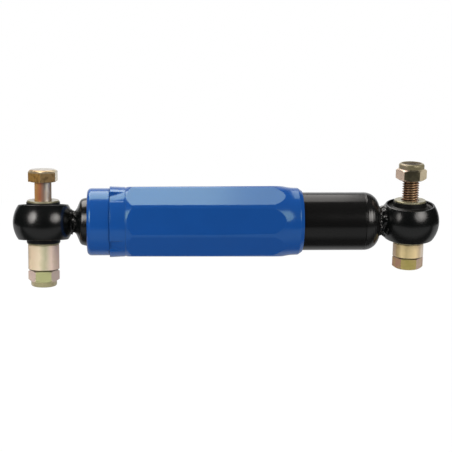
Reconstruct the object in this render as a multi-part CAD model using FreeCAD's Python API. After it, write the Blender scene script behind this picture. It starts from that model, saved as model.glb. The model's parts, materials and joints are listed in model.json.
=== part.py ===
import FreeCAD, Part
import math
import os

# Twin-tube shock absorber with a ball-shaped rubber eye at each end, in millimetres.
# The origin is the centre of the body eye. +Z runs along the body eye's bolt, towards its nut.
# The rod eye lies towards -X. A station is the distance from the body eye towards the rod eye,
# and an offset is the distance from the rod eye back towards the body eye.

Vec = FreeCAD.Vector
ORIGIN = Vec(0, 0, 0)
X_AXIS = Vec(1, 0, 0)
Y_AXIS = Vec(0, 1, 0)
Z_AXIS = Vec(0, 0, 1)
FULL_TURN = 360.0
HALF_TURN = 180.0
QUARTER_TURN = 90.0
HEX_SIDES = 6
TOUCH = 1e-6

# Travel either way from the pictured length.
compression_travel = 38.0
extension_travel = 62.0

# How the pieces stand turned about the damper's axis, in degrees. The body eye's bolt is upright.
# The eyes are turned further than their bolts, which sit a little askew in the rubber.
body_turn = 4.5
rod_turn = -10.5
rod_pin_turn = -4.5
sleeve_turn = -2.5

# Clearances: running fits, fixed fits, end stops, and the piston's ends of travel.
running_gap = 0.05
fixed_gap = 0.03
stop_gap = 0.3
pump_gap = 1.0

# Eye rings with their rubber bushes and inner sleeves.
ball_radius = 21.25
eye_width = 24.4
eye_rim_land = 1.1
eye_rim_round = 0.4
inner_sleeve_length = 31.0
inner_sleeve_chamfer = 0.4
bush_thickness = 5.0
bush_bare_end = 1.2
bush_collar_thickness = 0.45
bush_collar_sink = 1.2
bush_lip_round = 0.2
bush_groove_width = 1.7
bush_groove_depth = 2.4
bush_rim_depth = 1.6
bush_round = 0.5

# M12 bolts, self-locking nuts and spacers.
bolt_radius = 5.95
bolt_hole_gap = 0.3
bolt_point_chamfer = 1.0
hex_across_flats = 19.0
hex_land_margin = 0.9
hex_chamfer_angle = 30.0
bolt_head_height = 8.5
washer_face_height = 0.4
washer_face_margin = 0.7
nut_height = 12.0
nut_hex_height = 8.4
nut_collar_step = 0.45
nut_collar_wall = 1.0
nut_collar_round = 1.6
nut_lip_thickness = 0.8
nut_lip_reach = 1.0
insert_thickness = 2.3
spacer_step = 0.4
spacer_chamfer = 0.5
rod_bolt_length = 70.0
rod_lug_gap = 13.0
rod_spacer_length = 18.0
rod_head_turn = 24.0
rod_nut_turn = -1.5
body_bolt_length = 65.0
body_lug_gap = 14.5
body_spacer_length = 10.3
body_head_turn = 7.0
body_nut_turn = -8.0

# Reserve tube, base cap and the welds at the eyes.
tube_radius = 20.6
tube_wall = 1.5
tube_roll_round = 2.8
tube_roll_reach = 5.5
body_neck_gap = 1.3
base_wall = 2.5
base_skirt = 0.7
seam_chamfer = 0.3
weld_round = 1.2
body_weld_root = 8.4
body_weld_flare = 11.6
rod_weld_throat = 0.8
rod_weld_leg = 2.9

# Pressure tube and base valve.
cylinder_radius = 12.5
cylinder_wall = 1.25
foot_height = 4.0
foot_edge_gap = 0.2
foot_disc_gap = 0.5
foot_wall = 3.0
foot_slot_height = 2.5
foot_slot_width = 4.0
foot_slot_count = 4
valve_flange_thickness = 2.0
valve_plug_length = 5.0
valve_pin_radius = 2.5
valve_pin_head_width = 0.9
valve_pin_head_height = 0.9
valve_disc_thickness = 0.6
valve_disc_count = 2
base_check_gap = 0.6
port_radius = 1.1
port_count = 6
port_land = 0.2
inner_port_offset = 2.4

# Rod guide, seal and closing washer at the tube's rolled end.
guide_spigot_length = 4.0
guide_flange_length = 7.0
guide_bush_wall = 0.95
guide_bush_inset = 1.0
guide_corner = 3.6
seal_ring_section = 1.0
return_port_offset = 0.9
return_port_radius = 1.2
return_port_count = 3
seal_height = 6.3
seal_lip_width = 1.5
seal_lip_depth = 1.2
closing_washer_thickness = 1.5
closing_washer_gap = 1.0

# Piston rod and everything clamped on its stud.
rod_radius = 5.5
stud_radius = 4.0
rod_chamfer = 0.6
rod_weld_bed = 0.35
rebound_stop_length = 5.0
rebound_stop_width = 4.0
rebound_stop_round = 1.0
stop_plate_thickness = 1.1
stop_plate_width = 4.8
check_spring_height = 0.8
check_spring_strip = 0.4
check_spring_gap = 1.0
check_spring_width = 4.0
check_disc_thickness = 0.6
check_disc_gap = 1.5
piston_length = 9.0
piston_side_gap = 0.2
piston_chamfer = 0.4
band_width = 6.0
band_thickness = 0.9
piston_port_radius = 0.9
piston_port_land = 0.7
piston_inner_offset = 2.4
rebound_disc_thickness = 0.5
rebound_disc_step = 0.9
rebound_disc_count = 3
piston_nut_height = 6.0
piston_nut_flats = 13.0

# Rod cap, sleeve collar and bump stop.
rod_neck_gap = 1.2
cap_neck_wall = 1.8
cap_cone_length = 3.75
cap_shoulder_draft = 1.7
cap_shoulder_round = 3.5
cap_wall = 2.0
cap_skirt_length = 6.8
cap_flange_width = 3.2
cap_flange_gap = 0.25
collar_lip = 2.3
collar_lip_gap = 0.3
collar_length = 15.7
collar_step = 1.75
collar_round = 3.0
collar_edge_round = 0.7
spigot_length = 8.1
spigot_wall = 0.75
spigot_gap = 0.55
bead_height = 0.45
bead_width = 1.0
bump_length = 14.9
bump_neck_wall = 1.7
bump_cone_length = 3.5
bump_wall = 6.5
bump_waist = 1.4
bump_tip_step = 2.0
bump_round = 1.0

# Dust sleeve: a round skirt with ramped pockets, an octagonal shell and a tapered mouth.
sleeve_length = 135.6
sleeve_sides = 8
sleeve_bore_gap = 1.7
sleeve_wall = 2.1
sleeve_draft = 0.5
sleeve_corner_round = 4.5
skirt_length = 11.2
skirt_wall = 3.0
skirt_draft = 0.5
skirt_groove = 0.35
skirt_fit_gap = 0.1
pad_count = 4
pad_width = 27.4
pad_round = 0.6
pocket_floor = 0.45
pocket_run_out = 1.0
shoulder_length = 4.8
shoulder_step = 1.9
taper_length = 20.6
taper_knee = 8.6
taper_knee_step = 0.25
taper_knee_round = 30.0
mouth_length = 2.7
mouth_wall = 2.65
mouth_round = 0.5
mouth_edge_wall = 0.8
mouth_gap = 0.5
mouth_lip_length = 2.4

# Radii that follow from those sizes, so that every piece keeps its fit when one of them changes.
eye_bore_radius = math.sqrt(ball_radius ** 2 - (eye_width / 2) ** 2) - eye_rim_land
inner_sleeve_radius = eye_bore_radius - bush_thickness
spacer_radius = inner_sleeve_radius - spacer_step
bolt_hole_radius = bolt_radius + bolt_hole_gap
nut_collar_radius = hex_across_flats / 2 - nut_collar_step
insert_radius = nut_collar_radius - nut_collar_wall
nut_lip_radius = insert_radius - nut_lip_reach
tube_bore = tube_radius - tube_wall
guide_radius = tube_bore - running_gap
base_check_radius = cylinder_radius - base_check_gap
outer_port_circle = base_check_radius - port_radius - port_land
inner_port_circle = valve_pin_radius + inner_port_offset
valve_disc_radius = inner_port_circle + port_radius + port_land
valve_pin_head_radius = valve_pin_radius + valve_pin_head_width
foot_bore_radius = valve_disc_radius + foot_disc_gap
foot_radius = foot_bore_radius + foot_wall
base_round = tube_radius - foot_radius - foot_edge_gap
return_port_circle = cylinder_radius + return_port_offset
rebound_stop_radius = rod_radius + rebound_stop_width
stop_plate_radius = stud_radius + stop_plate_width
check_spring_inner = stud_radius + check_spring_gap
check_disc_radius = cylinder_radius - check_disc_gap
piston_inner_circle = stud_radius + piston_inner_offset
piston_outer_circle = check_disc_radius - piston_port_radius - piston_port_land
rebound_disc_radius = piston_inner_circle + piston_port_radius + piston_port_land
cap_neck_radius = rod_radius + cap_neck_wall
rod_weld_root = rod_radius + rod_weld_throat
rod_weld_flare = rod_radius + rod_weld_leg
collar_pocket_radius = tube_radius + spigot_gap
spigot_radius = collar_pocket_radius + spigot_wall
collar_radius = spigot_radius + collar_step
cap_flange_radius = collar_pocket_radius - cap_flange_gap
cap_skirt_radius = cap_flange_radius - cap_flange_width
cap_shoulder_radius = cap_skirt_radius - cap_shoulder_draft
bump_radius = rod_radius + bump_wall
skirt_bore_radius = spigot_radius + skirt_fit_gap
skirt_rim_radius = skirt_bore_radius + skirt_wall
skirt_end_radius = skirt_rim_radius - skirt_draft
sleeve_bore_radius = tube_radius + sleeve_bore_gap
sleeve_flat_radius = sleeve_bore_radius + sleeve_wall
shoulder_radius = sleeve_flat_radius + shoulder_step
mouth_bore_radius = tube_radius + mouth_gap
mouth_radius = mouth_bore_radius + mouth_wall
mouth_edge_radius = mouth_bore_radius + mouth_edge_wall
taper_knee_radius = mouth_radius + taper_knee_step
seat_height = inner_sleeve_length / 2

# Stations of the body's stack, from the dome to the rolled end, with the piston as pictured.
base_face = ball_radius + body_neck_gap
base_seam = base_face + base_round + base_skirt
valve_foot = base_face + base_wall
valve_flange = valve_foot + foot_height
cylinder_start = valve_flange + valve_flange_thickness
valve_top = cylinder_start + valve_plug_length
pin_top = valve_top + valve_disc_thickness + valve_pin_head_height
nut_start = pin_top + pump_gap + compression_travel
disc_start = nut_start + piston_nut_height
piston_start = disc_start + rebound_disc_count * rebound_disc_thickness
piston_end = piston_start + piston_length
spring_start = piston_end + check_disc_thickness
plate_start = spring_start + check_spring_height
rod_shoulder = plate_start + stop_plate_thickness
rebound_end = rod_shoulder + rebound_stop_length
guide_start = rebound_end + extension_travel + pump_gap
cylinder_end = guide_start + guide_spigot_length
guide_end = cylinder_end + guide_flange_length
seal_end = guide_end + seal_height
washer_end = seal_end + closing_washer_thickness
tube_end = washer_end + tube_wall

# Offsets of the rod end's stack, from the rod eye to the sleeve's mouth.
cap_neck = ball_radius + rod_neck_gap
cap_shoulder = cap_neck + cap_cone_length
cap_flange = cap_shoulder + cap_skirt_length
cap_end = cap_flange + cap_wall
collar_start = cap_flange - collar_lip
collar_end = collar_start + collar_length
skirt_end = collar_end + skirt_length
sleeve_end = collar_end + sleeve_length
bump_start = cap_neck + cap_wall
bump_end = bump_start + bump_length

# Distance between the eyes as pictured: the bump stop meets the closing washer at full compression.
eye_to_eye = washer_end + compression_travel + stop_gap + bump_end


def corner_arc(before, point, after, rounding):
    """First, middle and last point of the tangent arc that rounds the corner at point."""
    back = (before - point).normalize()
    ahead = (after - point).normalize()
    half = back.getAngle(ahead) / 2
    inward = (back + ahead).normalize()
    reach = rounding / math.tan(half)
    middle = point + inward * (rounding / math.sin(half) - rounding)
    return point + back * reach, middle, point + ahead * reach


def rounded_wire(corners):
    """Closed wire through (point, rounding) corners. A rounding of 0 leaves its corner sharp."""
    spans = []
    for index, (point, rounding) in enumerate(corners):
        before = corners[index - 1][0]
        after = corners[(index + 1) % len(corners)][0]
        span = corner_arc(before, point, after, rounding) if rounding else (point, point, point)
        spans.append(span)
    edges = []
    for index, (first, middle, last) in enumerate(spans):
        following = spans[(index + 1) % len(spans)][0]
        if first.distanceToPoint(last) > TOUCH:
            edges.append(Part.Arc(first, middle, last).toShape())
        if last.distanceToPoint(following) > TOUCH:
            edges.append(Part.makeLine(last, following))
    return Part.Wire(edges)


def turned_on_damper(profile, angle=FULL_TURN):
    """Solid turned about the damper's axis from (station, radius) or (station, radius, rounding)."""
    corners = [(Vec(-station, 0, radius), sum(rounding)) for station, radius, *rounding in profile]
    return Part.Face(rounded_wire(corners)).revolve(ORIGIN, X_AXIS, angle)


def turned_on_rod(profile, angle=FULL_TURN):
    """The same, from offsets measured back from the rod eye."""
    stations = [(eye_to_eye - offset, *rest) for offset, *rest in profile]
    return turned_on_damper(stations, angle)


def turned_on_bolt(profile):
    """Solid turned about Z from (radius, height) or (radius, height, rounding)."""
    corners = [(Vec(radius, 0, height), sum(rounding)) for radius, height, *rounding in profile]
    return Part.Face(rounded_wire(corners)).revolve(ORIGIN, Z_AXIS, FULL_TURN)


def ring_on_damper(inner, outer, start, end):
    """Plain ring about the damper's axis between two stations."""
    return turned_on_damper([(start, inner), (start, outer), (end, outer), (end, inner)])


def chamfered_ring(inner, outer, low, high, chamfer):
    """Ring about Z between two heights, with its four edges chamfered."""
    return turned_on_bolt([
        (inner, low + chamfer),
        (inner + chamfer, low),
        (outer - chamfer, low),
        (outer, low + chamfer),
        (outer, high - chamfer),
        (outer - chamfer, high),
        (inner + chamfer, high),
        (inner, high - chamfer),
    ])


def around_damper(shape, count, phase=0.0):
    """Copies of a shape spread evenly about the damper's axis."""
    copies = []
    for number in range(count):
        copy = shape.copy()
        copy.rotate(ORIGIN, X_AXIS, phase + number * FULL_TURN / count)
        copies.append(copy)
    return copies


def ports(radius, circle, count, start, end, phase=0.0):
    """Drilled oil ways along the damper between two stations, on one circle."""
    hole = Part.makeCylinder(radius, end - start, Vec(-end, 0, circle), X_AXIS)
    return around_damper(hole, count, phase)


def hex_prism(flats, height):
    """Hexagon standing on Z = 0, a flat facing -Y, with its corners chamfered at the top."""
    corner = flats / 2 / math.cos(math.pi / HEX_SIDES)
    points = []
    for number in range(HEX_SIDES + 1):
        angle = math.radians(number * FULL_TURN / HEX_SIDES)
        points.append(Vec(corner * math.cos(angle), corner * math.sin(angle), 0))
    prism = Part.Face(Part.makePolygon(points)).extrude(Vec(0, 0, height))
    land = flats / 2 - hex_land_margin
    wide = flats
    drop = (wide - land) * math.tan(math.radians(hex_chamfer_angle))
    cone = turned_on_bolt([(0, -drop), (wide, -drop), (wide, height - drop), (land, height), (0, height)])
    return prism.common(cone)


def hex_nut_blank(flats, height):
    """The same hexagon with its corners chamfered at both ends."""
    upturned = hex_prism(flats, height)
    upturned.rotate(ORIGIN, X_AXIS, HALF_TURN)
    upturned.translate(Vec(0, 0, height))
    return hex_prism(flats, height).common(upturned)


def eye_ring():
    """Ball-shaped ring: the middle zone of a ball, bored through for the bush."""
    reach = 2 * ball_radius
    slab = Part.makeBox(2 * reach, 2 * reach, eye_width, Vec(-reach, -reach, -eye_width / 2))
    bore = Part.makeCylinder(eye_bore_radius, eye_width, Vec(0, 0, -eye_width / 2))
    ring = Part.makeSphere(ball_radius).common(slab).cut(bore)
    rims = [edge for edge in ring.Edges if abs(abs(edge.CenterOfMass.z) - eye_width / 2) < TOUCH]
    return ring.makeFillet(eye_rim_round, rims)


def eye_bush(skew):
    """Rubber bush that fills the ring, with a collar up an inner sleeve that stands askew in it."""
    inner = inner_sleeve_radius + running_gap
    collar = inner_sleeve_radius + bush_collar_thickness
    outer = eye_bore_radius - fixed_gap
    groove = outer - bush_groove_width
    top = seat_height - bush_bare_end
    valley = eye_width / 2 - bush_groove_depth
    rim = eye_width / 2 - bush_rim_depth
    knee = eye_width / 2 - bush_collar_sink
    filling = turned_on_bolt([
        (0, -valley),
        (groove, -valley, bush_round),
        (outer, -rim),
        (outer, rim),
        (groove, valley, bush_round),
        (0, valley),
    ])
    core = turned_on_bolt([
        (0, -top),
        (collar, -top, bush_lip_round),
        (collar, -knee, bush_round),
        (groove, -valley),
        (groove, valley),
        (collar, knee, bush_round),
        (collar, top, bush_lip_round),
        (0, top),
    ])
    bore = Part.makeCylinder(inner, 2 * top, Vec(0, 0, -top))
    core.rotate(ORIGIN, X_AXIS, skew)
    bore.rotate(ORIGIN, X_AXIS, skew)
    return filling.fuse(core).cut(bore)


def inner_sleeve():
    """Steel sleeve through the bush. Its upper face seats the lug that the damper is bolted to."""
    return chamfered_ring(
        bolt_hole_radius, inner_sleeve_radius, -seat_height, seat_height, inner_sleeve_chamfer
    )


def spacer(length):
    """Spacer below the inner sleeve."""
    low = -seat_height - length
    return chamfered_ring(bolt_hole_radius, spacer_radius, low, -seat_height, spacer_chamfer)


def bolt(length):
    """Hexagon bolt with its bearing face at Z = 0, its head above and its shank below."""
    head = hex_prism(hex_across_flats, bolt_head_height - washer_face_height)
    head.translate(Vec(0, 0, washer_face_height))
    face = Part.makeCylinder(hex_across_flats / 2 - washer_face_margin, washer_face_height)
    shank = turned_on_bolt([
        (0, washer_face_height),
        (bolt_radius, washer_face_height),
        (bolt_radius, bolt_point_chamfer - length),
        (bolt_radius - bolt_point_chamfer, -length),
        (0, -length),
    ])
    return head.fuse([face, shank]).removeSplitter()


def nut():
    """Self-locking nut with its bearing face at Z = 0 and the collar round its insert above."""
    collar_foot = nut_hex_height - nut_collar_round
    collar = turned_on_bolt([
        (0, collar_foot),
        (nut_collar_radius, collar_foot),
        (nut_collar_radius, nut_height, nut_collar_round),
        (0, nut_height),
    ])
    thread = bolt_radius + fixed_gap
    pocket = insert_radius + fixed_gap
    pocket_top = nut_height - nut_lip_thickness
    pocket_floor = pocket_top - insert_thickness - 2 * fixed_gap
    cavity = turned_on_bolt([
        (0, 0),
        (thread, 0),
        (thread, pocket_floor),
        (pocket, pocket_floor),
        (pocket, pocket_top),
        (nut_lip_radius, pocket_top),
        (nut_lip_radius, nut_height),
        (0, nut_height),
    ])
    return hex_nut_blank(hex_across_flats, nut_hex_height).fuse(collar).removeSplitter().cut(cavity)


def nut_insert():
    """Nylon ring held in the nut's collar."""
    top = nut_height - nut_lip_thickness - fixed_gap
    return chamfered_ring(
        bolt_radius + fixed_gap, insert_radius, top - insert_thickness, top, fixed_gap
    )


def seated(shape, height, turn, flipped):
    """A bolt or nut turned about its own axis and set at a height, upside down where flipped."""
    copy = shape.copy()
    copy.rotate(ORIGIN, Z_AXIS, turn)
    if flipped:
        copy.rotate(ORIGIN, X_AXIS, HALF_TURN)
    copy.translate(Vec(0, 0, height))
    return copy


def at_rod_eye(shape):
    """A piece built round the body eye's centre, moved to the rod eye."""
    copy = shape.copy()
    copy.translate(Vec(-eye_to_eye, 0, 0))
    return copy


def body_pin():
    """Hardware of the body eye: bolt head below the spacer, nut above the gap for the lug."""
    spacer_end = -seat_height - body_spacer_length
    nut_seat = seat_height + body_lug_gap
    return {
        "body_eye_sleeve": inner_sleeve(),
        "body_eye_spacer": spacer(body_spacer_length),
        "body_eye_bolt": seated(bolt(body_bolt_length), spacer_end, body_head_turn, True),
        "body_eye_nut": seated(nut(), nut_seat, body_nut_turn, False),
        "body_eye_nut_insert": seated(nut_insert(), nut_seat, body_nut_turn, False),
    }


def rod_pin():
    """Hardware of the rod eye: bolt head above the gap for the lug, nut below the long spacer."""
    spacer_end = -seat_height - rod_spacer_length
    head_seat = seat_height + rod_lug_gap
    pieces = {
        "rod_eye_sleeve": inner_sleeve(),
        "rod_eye_spacer": spacer(rod_spacer_length),
        "rod_eye_bolt": seated(bolt(rod_bolt_length), head_seat, rod_head_turn, False),
        "rod_eye_nut": seated(nut(), spacer_end, rod_nut_turn, True),
        "rod_eye_nut_insert": seated(nut_insert(), spacer_end, rod_nut_turn, True),
    }
    return {name: at_rod_eye(shape) for name, shape in pieces.items()}


def reserve_tube():
    """Outer tube, rolled in over the closing washer at the rod end."""
    lip = tube_radius - tube_roll_reach
    return turned_on_damper([
        (base_seam, tube_bore),
        (base_seam, tube_radius - seam_chamfer),
        (base_seam + seam_chamfer, tube_radius),
        (tube_end, tube_radius, tube_roll_round),
        (tube_end, lip),
        (washer_end, lip),
        (washer_end, tube_bore),
    ])


def base_cap():
    """Pressed cup that closes the tube and carries the body eye."""
    inner = tube_radius - base_wall
    return turned_on_damper([
        (base_face, 0),
        (base_face, tube_radius, base_round),
        (base_seam - seam_chamfer, tube_radius),
        (base_seam, tube_radius - seam_chamfer),
        (base_seam, inner),
        (valve_foot, inner, base_round - base_wall),
        (valve_foot, 0),
    ])


def body_eye_weld():
    """Fillet weld that fills the wedge between the domed cap and the ball."""
    ball_side = math.sqrt(ball_radius ** 2 - body_weld_flare ** 2)
    root_station = (base_face + math.sqrt(ball_radius ** 2 - body_weld_root ** 2)) / 2
    bead = turned_on_damper([
        (base_face, 0),
        (base_face, body_weld_flare),
        (root_station, body_weld_root, weld_round),
        (ball_side, body_weld_flare),
        (ball_side, 0),
    ])
    return bead.cut(Part.makeSphere(ball_radius))


def rod_eye_weld():
    """Weld that joins the rod's end and its cap to the ball."""
    ball_side = math.sqrt(ball_radius ** 2 - rod_weld_flare ** 2)
    root_offset = (cap_neck + math.sqrt(ball_radius ** 2 - rod_weld_root ** 2)) / 2
    rod_top = ball_radius + rod_weld_bed
    bead = turned_on_rod([
        (cap_neck, rod_radius + fixed_gap),
        (cap_neck, cap_neck_radius),
        (root_offset, rod_weld_root, weld_round),
        (ball_side, rod_weld_flare),
        (ball_side, 0),
        (rod_top, 0),
        (rod_top, rod_radius + fixed_gap),
    ])
    return bead.cut(at_rod_eye(Part.makeSphere(ball_radius)))


def pressure_tube():
    """Inner cylinder between the base valve and the rod guide."""
    return ring_on_damper(cylinder_radius, cylinder_radius + cylinder_wall, cylinder_start, cylinder_end)


def base_valve_body():
    """Slotted foot, seat for the pressure tube and drilled plug inside it."""
    plug = cylinder_radius - fixed_gap
    body = turned_on_damper([
        (valve_foot, foot_bore_radius),
        (valve_foot, foot_radius),
        (valve_flange, foot_radius),
        (valve_flange, cylinder_radius + cylinder_wall),
        (cylinder_start, cylinder_radius + cylinder_wall),
        (cylinder_start, plug),
        (valve_top, plug),
        (valve_top, valve_pin_radius + fixed_gap),
        (valve_flange, valve_pin_radius + fixed_gap),
        (valve_flange, foot_bore_radius),
    ])
    slot_end = valve_foot + foot_slot_height
    slot = Part.makeBox(
        foot_slot_height, foot_slot_width, foot_radius + foot_wall, Vec(-slot_end, -foot_slot_width / 2, 0)
    )
    inner = ports(port_radius, inner_port_circle, port_count, valve_flange, valve_top)
    outer = ports(port_radius, outer_port_circle, port_count, valve_flange, valve_top)
    return body.cut(around_damper(slot, foot_slot_count) + inner + outer)


def base_valve_disc(number):
    """One of the thin discs that close the inner ports from below, counted downwards."""
    end = valve_flange - number * valve_disc_thickness
    return ring_on_damper(valve_pin_radius + fixed_gap, valve_disc_radius, end - valve_disc_thickness, end)


def base_check_disc():
    """Disc on top of the base valve that closes the outer ports and leaves the inner ones open."""
    end = valve_top + valve_disc_thickness
    disc = ring_on_damper(valve_pin_radius + fixed_gap, base_check_radius, valve_top, end)
    return disc.cut(ports(port_radius, inner_port_circle, port_count, valve_top, end))


def base_valve_pin():
    """Rivet that holds the base valve and its discs together."""
    lower = valve_flange - valve_disc_count * valve_disc_thickness
    upper = pin_top - valve_pin_head_height
    return turned_on_damper([
        (lower - valve_pin_head_height, 0),
        (lower - valve_pin_head_height, valve_pin_head_radius),
        (lower, valve_pin_head_radius),
        (lower, valve_pin_radius),
        (upper, valve_pin_radius),
        (upper, valve_pin_head_radius),
        (pin_top, valve_pin_head_radius),
        (pin_top, 0),
    ])


def rod_guide():
    """Guide that centres the pressure tube and carries the rod's bush, with oil return ports."""
    bore = rod_radius + running_gap + guide_bush_wall + fixed_gap
    spigot = cylinder_radius - fixed_gap
    body = turned_on_damper([
        (guide_start, bore),
        (guide_start, spigot),
        (cylinder_end, spigot),
        (cylinder_end, guide_radius),
        (guide_end - guide_corner, guide_radius),
        (guide_end, guide_radius - guide_corner),
        (guide_end, bore),
    ])
    return body.cut(
        ports(return_port_radius, return_port_circle, return_port_count, guide_start, guide_end)
    )


def guide_bush():
    """Bearing bush for the rod."""
    bore = rod_radius + running_gap
    start = guide_start + guide_bush_inset
    return ring_on_damper(bore, bore + guide_bush_wall, start, guide_end - guide_bush_inset)


def guide_seal_ring():
    """O-ring in the corner between the guide, the tube and the seal."""
    middle = tube_bore - seal_ring_section - running_gap
    station = guide_end - seal_ring_section - running_gap
    return Part.makeTorus(middle, seal_ring_section, Vec(-station, 0, 0), X_AXIS)


def rod_seal():
    """Rod seal with two lips on the rod."""
    lip = rod_radius + running_gap
    relief = lip + seal_lip_depth
    middle = (guide_end + seal_end) / 2
    return turned_on_damper([
        (guide_end, relief),
        (guide_end, guide_radius),
        (seal_end, guide_radius),
        (seal_end, lip),
        (seal_end - seal_lip_width, lip),
        (middle + seal_lip_width / 2, relief),
        (middle - seal_lip_width / 2, lip),
        (guide_end + seal_lip_width, lip),
    ])


def closing_washer():
    """Steel washer that the rolled end holds down on the seal and the bump stop lands on."""
    return ring_on_damper(rod_radius + closing_washer_gap, guide_radius, seal_end, washer_end)


def piston_rod():
    """Rod with a stud for the piston at one end and its bare end in the rod eye's weld."""
    top = eye_to_eye - ball_radius - rod_weld_bed
    return turned_on_damper([
        (nut_start, 0),
        (nut_start, stud_radius - rod_chamfer),
        (nut_start + rod_chamfer, stud_radius),
        (rod_shoulder, stud_radius),
        (rod_shoulder, rod_radius),
        (top, rod_radius),
        (top, 0),
    ])


def piston():
    """Piston with a groove for its band and two circles of oil ports."""
    outer = cylinder_radius - piston_side_gap
    groove = cylinder_radius - running_gap - band_thickness - running_gap
    middle = (piston_start + piston_end) / 2
    groove_half = band_width / 2 + running_gap
    body = turned_on_damper([
        (piston_start, stud_radius + fixed_gap),
        (piston_start, outer - piston_chamfer),
        (piston_start + piston_chamfer, outer),
        (middle - groove_half, outer),
        (middle - groove_half, groove),
        (middle + groove_half, groove),
        (middle + groove_half, outer),
        (piston_end - piston_chamfer, outer),
        (piston_end, outer - piston_chamfer),
        (piston_end, stud_radius + fixed_gap),
    ])
    half_step = HALF_TURN / port_count
    inner = ports(piston_port_radius, piston_inner_circle, port_count, piston_start, piston_end)
    outer_ports = ports(
        piston_port_radius, piston_outer_circle, port_count, piston_start, piston_end, half_step
    )
    return body.cut(inner + outer_ports)


def piston_band():
    """Sliding ring in the piston's groove, the only part of the piston that meets the cylinder."""
    outer = cylinder_radius - running_gap
    middle = (piston_start + piston_end) / 2
    return ring_on_damper(outer - band_thickness, outer, middle - band_width / 2, middle + band_width / 2)


def rebound_disc(number):
    """One of the discs below the piston, each smaller than the one above it."""
    end = piston_start - number * rebound_disc_thickness
    radius = rebound_disc_radius - number * rebound_disc_step
    return ring_on_damper(stud_radius + fixed_gap, radius, end - rebound_disc_thickness, end)


def check_disc():
    """Disc that closes the piston's outer ports from above."""
    return ring_on_damper(stud_radius + fixed_gap, check_disc_radius, piston_end, spring_start)


def check_spring():
    """Coned spring washer that holds the check disc down."""
    outer = check_spring_inner + check_spring_width
    return turned_on_damper([
        (plate_start - check_spring_strip, check_spring_inner),
        (plate_start, check_spring_inner),
        (spring_start + check_spring_strip, outer),
        (spring_start, outer),
    ])


def stop_plate():
    """Plate between the check spring and the rod's shoulder."""
    return ring_on_damper(stud_radius + fixed_gap, stop_plate_radius, plate_start, rod_shoulder)


def rebound_stop():
    """Ring on the rod that meets the guide at full extension."""
    inner = rod_radius + fixed_gap
    return turned_on_damper([
        (rod_shoulder, inner),
        (rod_shoulder, rebound_stop_radius, rebound_stop_round),
        (rebound_end, rebound_stop_radius, rebound_stop_round),
        (rebound_end, inner),
    ])


def piston_nut():
    """Nut that clamps the piston and its discs on the stud."""
    body = hex_nut_blank(piston_nut_flats, piston_nut_height)
    bore = Part.makeCylinder(stud_radius + fixed_gap, piston_nut_height)
    body = body.cut(bore)
    body.rotate(ORIGIN, Y_AXIS, -QUARTER_TURN)
    body.translate(Vec(-nut_start, 0, 0))
    return body


def rod_cap():
    """Pressed cap on the rod: a cone, a short skirt and a flange that the collar grips."""
    bore = rod_radius + fixed_gap
    inner_skirt = cap_skirt_radius - cap_wall
    inner_shoulder = cap_shoulder_radius - cap_wall
    return turned_on_rod([
        (cap_neck, bore),
        (cap_neck, cap_neck_radius),
        (cap_shoulder, cap_shoulder_radius, cap_shoulder_round),
        (cap_flange, cap_skirt_radius),
        (cap_flange, cap_flange_radius),
        (cap_end, cap_flange_radius),
        (cap_end, inner_skirt),
        (cap_shoulder + cap_wall, inner_shoulder, cap_shoulder_round - cap_wall),
        (cap_neck + cap_wall, cap_neck_radius),
        (cap_neck + cap_wall, bore),
    ])


def sleeve_collar():
    """Moulded end ring that snaps over the cap's flange and plugs into the sleeve."""
    opening = cap_skirt_radius + collar_lip_gap
    bead = cap_end + stop_gap
    return turned_on_rod([
        (collar_start, opening),
        (collar_start, collar_radius, collar_round),
        (collar_end, collar_radius, collar_edge_round),
        (collar_end, spigot_radius),
        (collar_end + spigot_length, spigot_radius),
        (collar_end + spigot_length, collar_pocket_radius),
        (bead + bead_width, collar_pocket_radius),
        (bead + bead_width / 2, collar_pocket_radius - bead_height),
        (bead, collar_pocket_radius),
        (cap_flange, collar_pocket_radius),
        (cap_flange, opening),
    ])


def bump_stop():
    """Rubber buffer round the rod inside the cap."""
    bore = rod_radius + fixed_gap
    shoulder = bump_start + bump_cone_length
    waist = (shoulder + bump_end) / 2
    return turned_on_rod([
        (bump_start, bore),
        (bump_start, rod_radius + bump_neck_wall),
        (shoulder, bump_radius, bump_round),
        (waist - bump_waist, bump_radius, bump_round),
        (waist, bump_radius - bump_waist),
        (waist + bump_waist, bump_radius, bump_round),
        (bump_end, bump_radius - bump_tip_step),
        (bump_end, bore),
    ])


def octagon_wire(offset, flat_radius):
    """Section of the sleeve's shell, with rounded corners and a flat facing -Y."""
    step = math.pi / sleeve_sides
    corner = flat_radius / math.cos(step)
    points = []
    for number in range(sleeve_sides):
        angle = (2 * number + 1) * step
        point = Vec(offset - eye_to_eye, -corner * math.cos(angle), corner * math.sin(angle))
        points.append((point, sleeve_corner_round))
    return rounded_wire(points)


def sleeve_shell():
    """Octagonal shell, slightly drafted, trimmed round at its shoulder and its tapered mouth."""
    narrow_end = octagon_wire(skirt_end, sleeve_flat_radius)
    wide_end = octagon_wire(sleeve_end, sleeve_flat_radius + sleeve_draft)
    prism = Part.makeLoft([narrow_end, wide_end], True, True)
    trim = turned_on_rod([
        (skirt_end, 0),
        (skirt_end, skirt_end_radius - skirt_groove),
        (skirt_end + shoulder_length, shoulder_radius),
        (sleeve_end - taper_length, shoulder_radius),
        (sleeve_end - taper_knee, taper_knee_radius, taper_knee_round),
        (sleeve_end - mouth_length, mouth_radius, mouth_round),
        (sleeve_end, mouth_edge_radius),
        (sleeve_end, 0),
    ])
    return prism.common(trim)


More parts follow.
